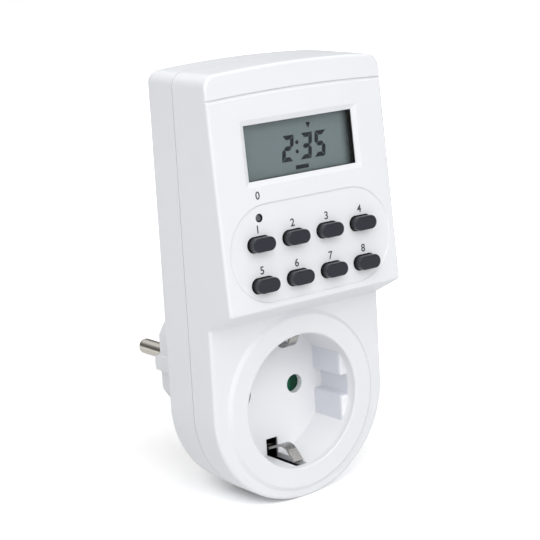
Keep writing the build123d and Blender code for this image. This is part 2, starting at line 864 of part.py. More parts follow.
# Shutter: a hub with two ramped blades that cover the pin holes
with BuildPart() as shutter:
    with BuildSketch(level(shutter_y)):
        for middle in (0, 180):
            first = around(shutter_radius, middle - shutter_half_angle)
            last = around(shutter_radius, middle + shutter_half_angle)
            with BuildLine():
                Line((0, socket_z), first)
                ThreePointArc(first, around(shutter_radius, middle), last)
                Line(last, (0, socket_z))
            make_face()
        with Locations((0, socket_z)):
            Circle(shutter_hub_radius)
            Circle(hub_post_radius + hub_fit, mode=Mode.SUBTRACT)
    extrude(amount=-shutter_thickness)
    ramp_edges = shutter.faces().sort_by(Axis.Y)[0].edges().filter_by(GeomType.LINE).filter_by(
        lambda edge: edge.center().X * (edge.center().Z - socket_z) < 0
    )
    chamfer(ramp_edges, shutter_ramp)
pieces["shutter"] = shutter.part

# Plate behind the shutter: its post is the shutter's pivot, and its pegs stand on the recess floor
peg_places = (around(peg_reach, peg_angle), around(peg_reach, peg_angle + 180))
with BuildPart() as shutter_cover:
    with BuildSketch(level(cover_y)):
        with Locations((0, socket_z)):
            Circle(cover_radius)
            with GridLocations(pin_spacing, 0, 2, 1):
                Circle(pin_hole_radius + cover_hole_gap, mode=Mode.SUBTRACT)
    extrude(amount=-cover_thickness)
    with BuildSketch(level(cover_y)):
        with Locations((0, socket_z)):
            Circle(hub_post_radius)
        with Locations(*peg_places):
            Circle(peg_radius)
    extrude(amount=cover_y - floor_back_y)
pieces["shutter_cover"] = shutter_cover.part

# Bent wire between a blade and a peg, which closes the shutter
spring_y = shutter_y + shutter_thickness / 2
spring_reaches = (spring_tip_reach, spring_apex_reach, spring_tip_reach)
spring_points = [around(reach, angle) for reach, angle in zip(spring_reaches, spring_angles)]
spring_route = [(x, spring_y, z) for x, z in spring_points]
pieces["shutter_spring"] = round_wire(spring_route, spring_wire_radius, spring_bend_radius)

# Plug pins, each with a shoulder on the end face and a collar behind the end wall
for name, side in (("line_pin", -1), ("neutral_pin", 1)):
    with BuildPart() as plug_pin:
        with BuildSketch(level(pin_end_y)):
            with Locations((side * pin_spacing / 2, 0)):
                Circle(pin_shank_radius)
        extrude(amount=pin_end_y)
        with BuildSketch(level(0)):
            with Locations((side * pin_spacing / 2, 0)):
                Circle(pin_radius)
        extrude(amount=-pin_length)
        fillet(plug_pin.faces().sort_by(Axis.Y)[-1].edges(), pin_tip_radius)
        with BuildSketch(level(-plug_end_wall)):
            with Locations((side * pin_spacing / 2, 0)):
                Circle(pin_collar_radius)
        extrude(amount=pin_collar_thickness)
    pieces[name] = plug_pin.part

# Earth strips in the grooves of the plug body, each with a foot through its slot
strip_height = earth_groove_floor + fit_gap + plug_earth_thickness / 2
strip_foot_y = earth_foot_y + fit_gap + plug_earth_thickness / 2
for name, side in (("upper_plug_earth", 1), ("lower_plug_earth", -1)):
    strip_route = (
        (-plug_earth_setback - fit_gap, side * strip_height),
        (strip_foot_y, side * strip_height),
        (strip_foot_y, side * (earth_groove_floor - plug_earth_foot)),
    )
    pieces[name] = bent_strip(
        strip_route, plug_earth_bend_radius, plug_earth_thickness, plug_earth_width, 0
    )

# Socket contacts: two leaves that flare at the mouth, joined by a web at the back
web_y = pin_end_y - strap_thickness - contact_thickness / 2
leaf_route = (
    (contact_start_y, contact_mouth / 2),
    (contact_start_y + contact_flare, contact_throat / 2),
    (web_y, contact_leaf / 2),
)
contact_route = [(y, socket_z + z) for y, z in leaf_route]
contact_route += [(y, socket_z - z) for y, z in reversed(leaf_route)]
for name, side in (("line_contact", -1), ("neutral_contact", 1)):
    pieces[name] = bent_strip(
        contact_route, contact_bend_radius, contact_thickness, contact_width, side * pin_spacing / 2
    )

# Straps on the ends of the pins: the neutral one also meets its contact
for name, side, foot in (
    ("line_strap", -1, -pin_radius),
    ("neutral_strap", 1, socket_z - contact_leaf / 2),
):
    with BuildPart() as strap:
        with BuildSketch(level(pin_end_y)):
            with Locations((side * pin_spacing / 2, (foot + strap_top) / 2)):
                Rectangle(strap_width, strap_top - foot)
        extrude(amount=strap_thickness)
    pieces[name] = strap.part

# Inner leads, from the straps and the line contact up to the foot of the power board
strap_y = pin_end_y - strap_thickness / 2
lead_height = strap_top + lead_climb
lead_turn_y = rear_inner_y - lead_exit
board_foot_y = power_back_y - board_thickness / 2
board_foot_z = power_middle - power_height / 2


def lead_to_board(x, start):
    """Route from its starting points, over the contacts and up to the foot of the power board."""
    return start + [
        (x, start[-1][1], lead_height),
        (x, lead_turn_y, lead_height),
        (x, board_foot_y, lead_height + lead_rise),
        (x, board_foot_y, board_foot_z),
    ]


line_x = -pin_spacing / 2
line_start = [(line_x, strap_y, strap_top)]
pieces["line_wire"] = round_wire(lead_to_board(line_x, line_start), lead_radius, lead_bend_radius)
neutral_start = [(-line_x, strap_y, strap_top)]
pieces["neutral_wire"] = round_wire(lead_to_board(-line_x, neutral_start), lead_radius, lead_bend_radius)
load_start = [(line_x + contact_width / 2, web_y, socket_z), (-load_lead_offset, web_y, socket_z)]
load_route = lead_to_board(-load_lead_offset, load_start)
pieces["load_wire"] = round_wire(load_route, lead_radius, lead_bend_radius)

# Screws that hold the two shells together
with BuildPart() as housing_screws:
    with BuildSketch(level(screw_seat_y)):
        with Locations(*screw_places):
            Circle(screw_radius)
    extrude(amount=screw_length)
    with BuildSketch(level(screw_seat_y)):
        with Locations(*screw_places):
            Circle(screw_head_radius)
    extrude(amount=-screw_head_height)
pieces["housing_screws"] = housing_screws.part

os.makedirs("parts", exist_ok=True)
for name, piece in pieces.items():
    piece.label = name
    export_step(piece, f"parts/{name}.step")
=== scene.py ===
import json
import math
import bmesh
import bpy
from mathutils import Matrix, Vector


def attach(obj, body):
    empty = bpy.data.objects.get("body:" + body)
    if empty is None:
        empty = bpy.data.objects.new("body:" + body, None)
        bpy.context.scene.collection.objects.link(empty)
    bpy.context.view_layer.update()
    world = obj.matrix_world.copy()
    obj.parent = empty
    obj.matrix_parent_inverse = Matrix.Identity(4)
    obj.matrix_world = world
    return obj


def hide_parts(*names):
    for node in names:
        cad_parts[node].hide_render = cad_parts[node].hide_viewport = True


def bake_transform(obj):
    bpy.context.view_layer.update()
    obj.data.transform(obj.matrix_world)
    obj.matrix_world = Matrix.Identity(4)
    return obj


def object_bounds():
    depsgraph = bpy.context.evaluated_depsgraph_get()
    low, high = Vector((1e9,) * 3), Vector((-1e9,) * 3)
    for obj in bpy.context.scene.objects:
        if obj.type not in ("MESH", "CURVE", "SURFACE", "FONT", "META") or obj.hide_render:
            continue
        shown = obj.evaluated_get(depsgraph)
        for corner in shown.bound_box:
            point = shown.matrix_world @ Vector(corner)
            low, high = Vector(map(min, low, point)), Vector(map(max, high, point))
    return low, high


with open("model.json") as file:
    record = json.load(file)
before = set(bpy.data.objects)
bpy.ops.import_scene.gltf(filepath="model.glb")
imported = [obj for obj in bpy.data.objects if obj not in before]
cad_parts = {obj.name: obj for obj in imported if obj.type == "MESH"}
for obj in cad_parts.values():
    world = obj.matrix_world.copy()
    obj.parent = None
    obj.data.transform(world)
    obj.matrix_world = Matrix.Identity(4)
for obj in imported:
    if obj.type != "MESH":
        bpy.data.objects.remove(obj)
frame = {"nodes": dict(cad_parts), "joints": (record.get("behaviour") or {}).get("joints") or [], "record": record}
cad_low, cad_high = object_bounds()

# Plug-in weekly timer: finishes, printed numbers, display marks, sunk screws, a copy of the shutter's spring and a
# studio.
# Everything is in metres, in the frame of the solids: +Y into the wall, +Z up, the front faces -Y.

MM = 0.001

# The sloping panel: its foot, and its directions from the way that the keys go in
PANEL_FOOT = Vector((0.0, -57.4, 25.4)) * MM
PRESS = Vector(next(joint["axis"] for joint in frame["joints"] if joint["name"] == "clock_press"))
PANEL_OUT = -PRESS.normalized()
PANEL_UP = PANEL_OUT.cross(Vector((1, 0, 0))).normalized()
FIELD_DEPTH = 0.4 * MM

# Where the keys' holes are painted black as shade: across the panel, up its slope, and from how deep below its
# face
HOLES_REACH = 24.0 * MM
HOLES_LOW = 2.0 * MM
HOLES_HIGH = 29.0 * MM
HOLES_EDGE = 0.5 * MM
HOLES_DEPTH = (-1.5 * FIELD_DEPTH, -1.1 * FIELD_DEPTH)

# How far out from the panel a key is painted black as shade, pale on its flank as a painted highlight, and plain
# on its face
KEY_SHADE_LOW = 0.1 * MM
KEY_SHADE_HIGH = 0.8 * MM
KEY_FACE = 2.4 * MM
KEY_FLANK_LOW = 0.7 * MM
KEY_FLANK_HIGH = 1.6 * MM
KEY_EDGE = 0.3 * MM

# The socket: its axis is the shutter's, and its recess runs from the ring to the floor with the pin holes
SOCKET = Vector(next(joint["pos_m"] for joint in frame["joints"] if joint["name"] == "shutter_turn"))
RECESS_RADIUS = 19.6 * MM
RECESS_MOUTH = -48.0 * MM
RECESS_FLOOR = -32.0 * MM
RECESS_OUTSIDE = (1.14, 1.15)
RECESS_FADE = (RECESS_MOUTH + 0.4 * MM, RECESS_MOUTH + 3.0 * MM)
# Height over which the painted light low in the recess fades out
RECESS_PAINTED_LIGHT_FADE = (-8.0 * MM, 6.0 * MM)
# Faces of the right-hand ribs, greyed with painted shade
RIB_FACE = 16.75 * MM
RIB_FRONT = -44.5 * MM
RIB_EDGE = 0.2 * MM
# Earth slots, painted black as shade
SLOT_HALF_WIDTH = 2.25 * MM
SLOT_START = 14.4 * MM / RECESS_RADIUS
SLOT_START_EDGE = 0.005
SLOT_EDGE = 0.02 * MM
SLOT_FADE = (RECESS_FLOOR + 0.2 * MM, RECESS_FLOOR + 1.0 * MM)
# Past this ridge each shutter blade has painted shade
SHUTTER_RIDGE = 9.6 * MM
RIDGE_EDGE = 0.15 * MM

# The inside of the rear shell's rounded foot, seen through the lower earth slot
FOOT_MIDDLE = -6.0 * MM
FOOT_HALF_WIDTH = 29.0 * MM
FOOT_DEPTH = 27.4 * MM
FOOT_EDGE = (0.998, 1.002)
BACK_WALL = -25.3 * MM
BACK_EDGE = 0.1 * MM

# Patterns in the finishes, in repeats for each metre
CLOUDS = 60.0
KEY_GRAIN = 3200.0
SHUTTER_GRAIN = 1800.0
DRAWN_LINES = 2600.0
DULL_PATCHES = 260.0
WIPING_MARKS = 90.0
GLASS_SPARKLE = 9000.0
GLASS_SHEEN = 45.0
BOARD_TRACKS = 120.0
BOARD_WEAVE = 3000.0
FLOOR_PAPER = 30.0

# How the lines on metal are drawn out: along Y, or not at all
DRAWN_ALONG = (1.0, 0.05, 1.0)
NOT_DRAWN = (1.0, 1.0, 1.0)

# Printed numbers
INK_HEIGHT = 2.2 * MM
INK_THICKNESS = 0.02 * MM
INK_SPREAD = 0.06 * MM
INK_CURVE_STEPS = 6
CAP_SHARE = 0.73
NUMBER_RISE = 3.9 * MM
RESET_NUMBER_RISE = 6.0 * MM
KEY_NUMBERS = {
    "day_button": "1", "hour_button": "2", "minute_button": "3", "recall_button": "4",
    "clock_button": "5", "program_button": "6", "mode_button": "7", "random_button": "8",
}

# Display digits and marks, on the front of the glass
DIGIT_WIDTH = 3.95 * MM
DIGIT_HEIGHT = 7.2 * MM
DIGIT_STROKE = 1.25 * MM
DIGIT_GAP = 0.08 * MM
DIGIT_SLANT = 0.14
DIGIT_FOOT = -4.2 * MM
DIGIT_PLACES = ((-5.6 * MM, "2"), (0.9 * MM, "3"), (5.8 * MM, "5"))
COLON_PLACES = ((0.0 * MM, -1.8 * MM), (0.2 * MM, 0.75 * MM))
COLON_RADIUS = 0.55 * MM
MARK_THICKNESS = 0.02 * MM
UPPER_MARK = (4.7 * MM, 4.9 * MM)
UPPER_MARK_SIZE = 1.7 * MM
LOWER_MARK = (1.2 * MM, -6.1 * MM)
LOWER_MARK_SIZE = (4.6 * MM, 1.1 * MM)
SEGMENTS = {"2": "abdeg", "3": "abcdg", "5": "acdfg"}
# Across the glass, where painted shade from the dark frame wall darkens it to the right
GLASS_PAINTED_SHADE = (15.4 * MM, 19.6 * MM)

# Sunk screws on the back
SCREW_SHANK_RADIUS = 1.3 * MM
SCREW_HEAD_HEIGHT = 1.6 * MM
SCREW_RECESS_WIDTH = 0.7 * MM
SCREW_RECESS_LENGTH = 2.9 * MM
SCREW_RECESS_DEPTH = 1.0 * MM
SCREW_CROWN = 0.8
SCREW_SIDES = 48
SHANK_SIDES = 32

# How near two corners of a piece are one
WELD_REACH = 0.001 * MM

# Studio
FLOOR_SIZE = 4.0
FLOOR_NEAR = 0.1
FLOOR_FAR = 0.35
FLOOR_LIFT = 0.8
FLOOR_GLOW = 0.42
FLOOR_BOUNCE = 0.05
# Painted contact shadow on the floor around the foot
CONTACT_MIDDLE = Vector((-4.5, -29.0, 0.0)) * MM
CONTACT_HALF_WIDTH = 13.0 * MM
CONTACT_HALF_LENGTH = 28.0 * MM
CONTACT_FADE = (0.1, 1.0)
CONTACT_SHADE = 0.47
SURROUND = 0.32
BAND_FOOT = (0.4, 0.6)
BAND_HEAD = (0.75, 0.95)
BAND_DARK = 0.18
BAND_BRIGHT = 1.3
BAND_FALL = 0.8
CAMERA_PLACE = Vector((-293.37, -422.05, 140.04)) * MM
CAMERA_RIGHT = Vector((0.78750, -0.61383, -0.05535))
CAMERA_UP = Vector((0.17854, 0.14126, 0.97374))
CAMERA_LENS = 115.82
SENSOR_WIDTH = 36.0
CLIP_START = 0.01
CLIP_END = 20.0

# Soft boxes: place, width and watts. The top one lights the housing and spares the floor.
LAMPS = {
    "front_box": ((0.1, -0.75, 0.8), 1.1, 4.15),
    "low_front_box": ((0.0, -1.05, 0.3), 1.1, 2.05),
    "left_box": ((-0.6, -0.7, 0.4), 1.0, 2.45),
    "upper_left_box": ((-0.6, -0.3, 0.8), 1.0, 3.25),
    "top_box": ((0.0, 0.25, 0.9), 0.6, 2.4),
}


class Value:
    """A socket in a node tree. Arithmetic on it adds Math nodes."""

    def __init__(self, graph, socket):
        self.graph = graph
        self.socket = socket

    def math(self, operation, first, second):
        return self.graph.node("ShaderNodeMath", {"operation": operation}, {0: first, 1: second})

    def __add__(self, other):
        return self.math("ADD", self, other)

    def __radd__(self, other):
        return self.math("ADD", other, self)

    def __sub__(self, other):
        return self.math("SUBTRACT", self, other)

    def __rsub__(self, other):
        return self.math("SUBTRACT", other, self)

    def __mul__(self, other):
        return self.math("MULTIPLY", self, other)

    def __rmul__(self, other):
        return self.math("MULTIPLY", other, self)


class Graph:
    """A node tree that is filled one node at a time."""

    def __init__(self, tree):
        self.tree = tree
        self.tree.nodes.clear()

    def node(self, kind, settings=None, inputs=None, output=0):
        """Adds a node: its settings, then the value or link of each input. Gives one of its outputs."""
        made = self.tree.nodes.new(kind)
        for key, value in (settings or {}).items():
            setattr(made, key, value)
        for key, value in (inputs or {}).items():
            for item in value if isinstance(value, list) else [value]:
                if isinstance(item, Value):
                    self.tree.links.new(item.socket, made.inputs[key])
                else:
                    made.inputs[key].default_value = item
        return Value(self, made.outputs[output]) if len(made.outputs) else None

    def seen(self):
        """1 for rays of the picture itself, straight or through glass."""
        return self.node("ShaderNodeLightPath", output="Is Camera Ray") + self.node(
            "ShaderNodeLightPath", output="Is Transmission Ray")

    def ramp(self, value, low, high):
        """0 below low, 1 above high, and smooth between them."""
        return self.node(
            "ShaderNodeMapRange",
            {"interpolation_type": "SMOOTHSTEP"},
            {"Value": value, "From Min": low, "From Max": high},
        )


class Finish(Graph):
    """A material made of nodes, on Object coordinates."""

    def __init__(self, name):
        self.material = bpy.data.materials.new(name)
        self.material.use_nodes = True
        super().__init__(self.material.node_tree)
        self.place = self.node("ShaderNodeTexCoord", output="Object")

    def noise(self, scale, detail=2.0, stretch=NOT_DRAWN):
        """Noise from 0 to 1 with a pattern of 1 / scale metres, drawn out by stretch."""
        place = self.node("ShaderNodeMapping", {}, {"Vector": self.place, "Scale": stretch})
        return self.node("ShaderNodeTexNoise", {}, {"Vector": place, "Scale": scale, "Detail": detail})

    def blend(self, factor, first, second):
        """Mixes two colours."""
        return self.node("ShaderNodeMix", {"data_type": "RGBA"}, {0: factor, 6: first, 7: second}, 2)

    def bump(self, height, distance, strength):
        return self.node("ShaderNodeBump", {}, {"Height": height, "Distance": distance, "Strength": strength})

    def axis(self, letter):
        """One coordinate of the place on the object, in metres."""
        return self.node("ShaderNodeSeparateXYZ", {}, {0: self.place}, letter)

    def along(self, direction):
        """How far the place on the object is along a direction, in metres."""
        return self.node(
            "ShaderNodeVectorMath", {"operation": "DOT_PRODUCT"}, {0: self.place, 1: direction}, "Value")

    def length(self, vector):
        return self.node("ShaderNodeVectorMath", {"operation": "LENGTH"}, {0: vector}, "Value")

    def oval(self, first, second):
        """Length of a vector with two parts."""
        return self.length(self.node("ShaderNodeCombineXYZ", {}, {"X": first, "Y": second}))

    def close(self, inputs):
        """Ends the material in one Principled shader."""
        shader = self.node("ShaderNodeBsdfPrincipled", {}, inputs)
        self.node("ShaderNodeOutputMaterial", {}, {"Surface": shader})
        return self.material


def colour(red, green, blue):
    return (red, green, blue, 1.0)


# Places on the panel

def panel_matrix(x, up, out):
    """Turns a drawing on XY into one on the panel, at x across, up its slope and out from its face."""
    place = PANEL_FOOT + Vector((x, 0, 0)) + PANEL_UP * up + PANEL_OUT * out
    turn = Matrix((Vector((1, 0, 0)), PANEL_UP, PANEL_OUT)).transposed().to_4x4()
    return Matrix.Translation(place) @ turn


def panel_spans(node):
    """Lowest and highest of a solid across the panel, up its slope and out from its face."""
    points = [vertex.co - PANEL_FOOT for vertex in frame["nodes"][node].data.vertices]
    spans = []
    for direction in (Vector((1, 0, 0)), PANEL_UP, PANEL_OUT):
        reaches = [point.dot(direction) for point in points]
        spans.append((min(reaches), max(reaches)))
    return spans


def panel_middle(node):
    """Middle of a solid across the panel and up its slope."""
    across, up, _ = panel_spans(node)
    return (sum(across) / 2, sum(up) / 2)


# Finishes

def moulded_plastic(name, low, high, roughness, grain, grain_height, specular=0.5, tint=None):
    """Moulded plastic: a spark-eroded grain, slightly uneven colour and gloss, and painted light and shade by
    place where a tint is given.
    """
    finish = Finish(name)
    clouds = finish.noise(CLOUDS, 3.0)
    texture = finish.noise(grain, 3.0)
    tone = finish.blend(clouds, low, high)
    return finish.close({
        "Base Color": tint(finish, tone) if tint else tone,
        "Roughness": roughness + 0.1 * (texture - 0.5) + 0.06 * (clouds - 0.5),
        "Normal": finish.bump(texture, grain_height, 0.6),
        "Specular IOR Level": specular,
    })


def round_reach(finish, middle, wide, high):
    """Distance from an axis along Y through a height, in shares of a half width and a half height."""
    across = finish.axis("X") * (1.0 / wide)
    up = (finish.axis("Z") - middle) * (1.0 / high)
    return finish.oval(across, up)


def between(finish, value, low, high, soft):
    """1 between low and high, with soft edges, and 0 elsewhere."""
    return finish.ramp(value, low, low + soft) * (1.0 - finish.ramp(value, high - soft, high))


def out_of_panel(finish):
    """How far the place on the object is out from the panel's face."""
    return finish.along(PANEL_OUT) - PANEL_FOOT.dot(PANEL_OUT)


def front_painted_light_and_shade(finish, tone):
    """Painted light whiter low in the recess; painted shade greyer on the right-hand ribs and black in the slots
    and key holes.
    """
    x, y, z = (finish.axis(letter) for letter in "XYZ")
    reach = round_reach(finish, SOCKET.z, RECESS_RADIUS, RECESS_RADIUS)
    deep = (1.0 - finish.ramp(reach, *RECESS_OUTSIDE)) * finish.ramp(y, *RECESS_FADE)
    ribs = finish.ramp(x, RIB_FACE - 1.5 * RIB_EDGE, RIB_FACE - 0.5 * RIB_EDGE) * between(
        finish, y, RIB_FRONT, RECESS_FLOOR - RIB_EDGE, RIB_EDGE)
    low = 1.0 - finish.ramp(z, *RECESS_PAINTED_LIGHT_FADE)
    # Painted light: whiter and bluer low in the recess.
    recess_painted_light = finish.blend(deep * low * (1.0 - ribs), tone, colour(0.905, 0.910, 0.930))
    # Painted shade: the faces of the right-hand ribs are greyed.
    rib_painted_shade = finish.blend(deep * ribs, recess_painted_light, colour(0.73, 0.75, 0.80))
    slots = (
        between(finish, x, -SLOT_HALF_WIDTH, SLOT_HALF_WIDTH, SLOT_EDGE)
        * finish.ramp(reach, SLOT_START - SLOT_START_EDGE, SLOT_START)
        * finish.ramp(y, *SLOT_FADE)
    )
    foot = PANEL_FOOT.dot(PANEL_UP)
    sunk = 1.0 - finish.ramp(out_of_panel(finish), *HOLES_DEPTH)
    holes = (
        sunk
        * between(finish, x, -HOLES_REACH, HOLES_REACH, HOLES_EDGE)
        * between(finish, finish.along(PANEL_UP), foot + HOLES_LOW, foot + HOLES_HIGH, HOLES_EDGE)
    )
    # Painted shade: the earth slots, the key holes and the reset well are black.
    gap_painted_shade = finish.node("ShaderNodeMath", {"operation": "MAXIMUM"}, {0: slots, 1: holes})
    return finish.blend(gap_painted_shade, rib_painted_shade, colour(0.005, 0.005, 0.006))


def inside_tint(finish, tone):
    """Black on the inside of the foot, where the earth slots let no light in."""
    within = 1.0 - finish.ramp(round_reach(finish, FOOT_MIDDLE, FOOT_HALF_WIDTH, FOOT_DEPTH), *FOOT_EDGE)
    deep = 1.0 - finish.ramp(finish.axis("Y"), BACK_WALL - BACK_EDGE, BACK_WALL)
    return finish.blend(within * deep, tone, colour(0.006, 0.006, 0.007))


def shell_plastic(name, tint):
    """White plastic of the two shells."""
    return moulded_plastic(
        name, colour(0.785, 0.795, 0.825), colour(0.815, 0.825, 0.852), 0.42, 2400.0, 0.006 * MM, tint=tint)


def key_plastic():
    """Slate plastic of the keys: painted shade black near the foot, in the gap of the hole, and a painted
    highlight paler up the flank.
    """
    finish = Finish("slate_keys")
    texture = finish.noise(KEY_GRAIN, 3.0)
    tone = finish.blend(finish.noise(CLOUDS, 3.0), colour(0.009, 0.012, 0.020), colour(0.014, 0.017, 0.026))
    out = out_of_panel(finish)
    # Painted shade: the key is black near its foot, where the gap of the hole is dark.
    proud = finish.ramp(out, KEY_SHADE_LOW, KEY_SHADE_HIGH)
    # Painted highlight: the flank is paler up from the foot, short of the face's edge.
    flank = finish.ramp(out, KEY_FLANK_LOW, KEY_FLANK_HIGH) * (
        1.0 - finish.ramp(out, KEY_FACE - KEY_EDGE, KEY_FACE))
    flank_painted_highlight = finish.blend(flank, tone, colour(0.030, 0.034, 0.044))
    return finish.close({
        "Base Color": finish.blend(proud, colour(0.001, 0.001, 0.001), flank_painted_highlight),
        "Roughness": 0.75 - 0.43 * proud + 0.1 * (texture - 0.5),
        "Normal": finish.bump(texture, 0.005 * MM, 0.6),
        "Specular IOR Level": 0.3,
    })


def shutter_plastic():
    """Green plastic with painted shade darker on the outer half of each blade, past a ridge."""
    finish = Finish("shutter_green")
    texture = finish.noise(SHUTTER_GRAIN, 3.0)
    reach = finish.node("ShaderNodeMath", {"operation": "ABSOLUTE"}, {0: finish.axis("X")})
    # Painted shade on the outer half of each blade, past the ridge
    outer_painted_shade = finish.ramp(reach, SHUTTER_RIDGE - RIDGE_EDGE, SHUTTER_RIDGE + RIDGE_EDGE)
    tone = finish.blend(texture, colour(0.006, 0.085, 0.045), colour(0.012, 0.115, 0.060))
    return finish.close({
        "Base Color": finish.blend(outer_painted_shade * 0.75, tone, colour(0.003, 0.028, 0.017)),
        "Roughness": 0.32 + 0.1 * (texture - 0.5),
        "Normal": finish.bump(texture, 0.008 * MM, 0.6),
        "Specular IOR Level": 0.2,
    })


def drawn_metal(name, low, high, roughness, stretch, line_height=0.004 * MM):
    """Plated metal with fine lines along the way that it was drawn, and a few dull patches."""
    finish = Finish(name)
    lines = finish.noise(DRAWN_LINES, 2.0, stretch)
    patches = finish.noise(DULL_PATCHES, 3.0)
    return finish.close({
        "Base Color": finish.blend(patches, low, high),
        "Metallic": 1.0,
        "Roughness": roughness + 0.14 * (lines - 0.5) + 0.1 * (patches - 0.5),
        "Normal": finish.bump(lines, line_height, 0.5),
    })


def clear_window():
    """Clear plate: nearly all of it is seen through, with faint wiping marks."""
    finish = Finish("clear_window")
    wipes = finish.noise(WIPING_MARKS, 3.0, (1.0, 1.0, 0.3))
    return finish.close({
        "Base Color": colour(0.75, 0.78, 0.78),
        "Roughness": 0.05 + 0.08 * wipes,
        "Alpha": 0.005 + 0.01 * wipes,
        "Specular IOR Level": 0.08,
    })


def display_glass():
    """Grey-green display with a fine sparkle, and painted shade from the dark frame wall towards its right-hand
    border.
    """
    finish = Finish("display_glass")
    sparkle = finish.noise(GLASS_SPARKLE, 1.0)
    sheen = finish.noise(GLASS_SHEEN, 2.0)
    # Painted shade from the dark frame wall, towards the glass's right-hand border
    frame_painted_shade = finish.ramp(finish.axis("X"), *GLASS_PAINTED_SHADE)
    tone = finish.blend(0.6 * sparkle + 0.4 * sheen, colour(0.126, 0.163, 0.171), colour(0.169, 0.211, 0.221))
    return finish.close({
        "Base Color": finish.blend(frame_painted_shade, tone, colour(0.004, 0.005, 0.006)),
        "Roughness": 0.3 + 0.1 * sparkle,
        "Normal": finish.bump(sparkle, 0.002 * MM, 0.3),
        "Specular IOR Level": 0.3,
    })


def circuit_board():
    """Green lacquered board with rows of darker tracks."""
    finish = Finish("circuit_board")
    tracks = finish.node(
        "ShaderNodeTexBrick",
        {},
        {"Vector": finish.node("ShaderNodeMapping", {}, {
            "Vector": finish.place, "Rotation": (math.radians(90), 0.0, 0.0)}),
         "Scale": BOARD_TRACKS, "Mortar Size": 0.012, "Color1": colour(0.02, 0.13, 0.05),
         "Color2": colour(0.03, 0.17, 0.07), "Mortar": colour(0.06, 0.28, 0.12)},
    )
    weave = finish.noise(BOARD_WEAVE, 2.0)
    return finish.close({
        "Base Color": tracks,
        "Roughness": 0.3 + 0.15 * weave,
        "Normal": finish.bump(weave, 0.01 * MM, 0.4),
    })


FINISHES = {
    "key_grey": key_plastic(),
    "window_clear": clear_window(),
    "display_glass": display_glass(),
    "frame_black": moulded_plastic(
        "black_frame", colour(0.003, 0.003, 0.004), colour(0.006, 0.006, 0.007),
        0.55, 2600.0, 0.008 * MM, 0.1),
    "mat_rubber": moulded_plastic(
        "grey_rubber", colour(0.28, 0.29, 0.30), colour(0.36, 0.37, 0.38), 0.7, 1500.0, 0.01 * MM),
    "board_green": circuit_board(),
    "component_black": moulded_plastic(
        "component_black", colour(0.012, 0.012, 0.014), colour(0.022, 0.022, 0.024), 0.45, 2000.0, 0.01 * MM),
    "capacitor_red": moulded_plastic(
        "capacitor_red", colour(0.24, 0.03, 0.02), colour(0.32, 0.05, 0.03), 0.35, 900.0, 0.01 * MM),
    "can_aluminium": drawn_metal(
        "can_aluminium", colour(0.62, 0.63, 0.65), colour(0.72, 0.73, 0.74), 0.32, DRAWN_ALONG),
    "ribbon_grey": moulded_plastic(
        "ribbon_grey", colour(0.36, 0.37, 0.38), colour(0.44, 0.45, 0.46), 0.5, 800.0, 0.01 * MM),
    "nickel": drawn_metal(
        "nickel", colour(0.44, 0.42, 0.38), colour(0.54, 0.52, 0.475), 0.24, DRAWN_ALONG),
    "contact_brass": drawn_metal(
        "contact_brass", colour(0.70, 0.50, 0.21), colour(0.80, 0.60, 0.28), 0.3, DRAWN_ALONG),
    "screw_steel": drawn_metal(
        "screw_steel", colour(0.46, 0.47, 0.49), colour(0.56, 0.57, 0.58), 0.34, NOT_DRAWN),
    "shutter_green": shutter_plastic(),
    "cover_grey": moulded_plastic(
        "cover_grey", colour(0.22, 0.23, 0.24), colour(0.28, 0.29, 0.30), 0.5, 1800.0, 0.01 * MM),
    "spring_steel": drawn_metal(
        "spring_steel", colour(0.46, 0.47, 0.48), colour(0.54, 0.55, 0.56), 0.28, NOT_DRAWN),
    "lead_brown": moulded_plastic(
        "lead_brown", colour(0.10, 0.04, 0.018), colour(0.14, 0.06, 0.028), 0.45, 1200.0, 0.01 * MM),
    "lead_blue": moulded_plastic(
        "lead_blue", colour(0.02, 0.06, 0.30), colour(0.03, 0.09, 0.38), 0.45, 1200.0, 0.01 * MM),
}
# Painted shade: the earth clips have a darker copy of the nickel.
CLIP_PAINTED_SHADE_FINISH = drawn_metal(
    "clip_nickel_painted_shade", colour(0.30, 0.295, 0.287), colour(0.37, 0.363, 0.353), 0.26, DRAWN_ALONG, 0.001 * MM)
NODE_FINISHES = {
    "front_shell": shell_plastic("moulded_front", front_painted_light_and_shade),
    "rear_shell": shell_plastic("moulded_rear", inside_tint),
    "upper_earth_clip": CLIP_PAINTED_SHADE_FINISH,
    "lower_earth_clip": CLIP_PAINTED_SHADE_FINISH,
    "reset_button": moulded_plastic(
        "reset_dome", colour(0.050, 0.053, 0.060), colour(0.066, 0.070, 0.078), 0.2, 3200.0, 0.002 * MM, 0.7),
}
INK = moulded_plastic(
    "printed_ink", colour(0.045, 0.05, 0.065), colour(0.06, 0.065, 0.08), 0.55, 5000.0, 0.004 * MM)
DISPLAY_MARKS = moulded_plastic(
    "display_marks", colour(0.008, 0.011, 0.015), colour(0.012, 0.015, 0.019), 0.5, 6000.0, 0.002 * MM, 0.1)


def paint_solids():
    """Gives each solid its own finish, or that of its material slot."""
    for part in frame["record"]["subparts"]:
        finish = NODE_FINISHES.get(part["node"]) or FINISHES[part["material_slot"]]
        for slot in frame["nodes"][part["node"]].material_slots:
            slot.material = finish


# Pieces

def weld(mesh):
    """Joins loose faces, drops those of no size, and turns the rest outwards."""
    shapes = bmesh.new()
    shapes.from_mesh(mesh)
    bmesh.ops.remove_doubles(shapes, verts=shapes.verts, dist=WELD_REACH)
    bmesh.ops.dissolve_degenerate(shapes, edges=shapes.edges, dist=WELD_REACH)
    bmesh.ops.recalc_face_normals(shapes, faces=shapes.faces)
    shapes.to_mesh(mesh)
    shapes.free()


